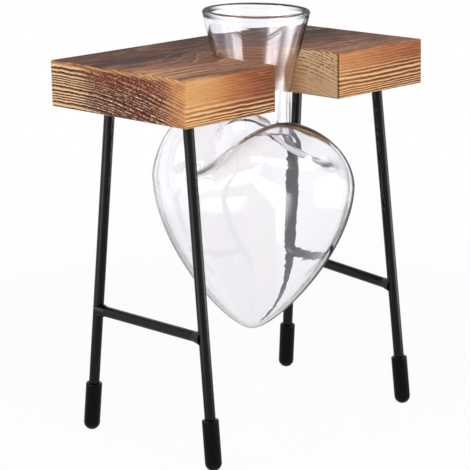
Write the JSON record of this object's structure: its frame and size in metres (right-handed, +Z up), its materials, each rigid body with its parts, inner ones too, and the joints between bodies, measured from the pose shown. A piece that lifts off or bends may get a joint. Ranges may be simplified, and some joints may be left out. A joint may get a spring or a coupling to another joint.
{
  "type": "vase",
  "caption": "Heart-shaped clear glass vase hanging by its flared neck in a slotted scorched pine board on black wire end frames with rubber feet.",
  "frame": {"origin": "on the floor, under the middle of the board", "axes": "+Z up, +X along the board's long side towards its right end, -Y towards the front face where the slot opens"},
  "size_m": [0.182, 0.131, 0.2349],
  "materials": {
    "scorched_pine": "torched and brushed pine, dark along the late wood, satin",
    "black_steel": "satin black coating",
    "black_rubber": "smooth semi-gloss rubber",
    "clear_glass": "clear blown glass with a fire-polished rim"
  },
  "bodies": {
    "stand": {"board": "scorched_pine", "rod_front_left": "black_steel", "rod_back_left": "black_steel", "rod_front_right": "black_steel", "rod_back_right": "black_steel", "crossbar_left": "black_steel", "crossbar_right": "black_steel", "cap_front_left": "black_rubber", "cap_back_left": "black_rubber", "cap_front_right": "black_rubber", "cap_back_right": "black_rubber"},
    "vase": {"vase": "clear_glass"}
  },
  "joints": [
    {"name": "vase_slide", "type": "slide", "parent": "stand", "child": "vase", "axis": [0, -1, 0], "range_m": [0, 0.135]}
  ]
}
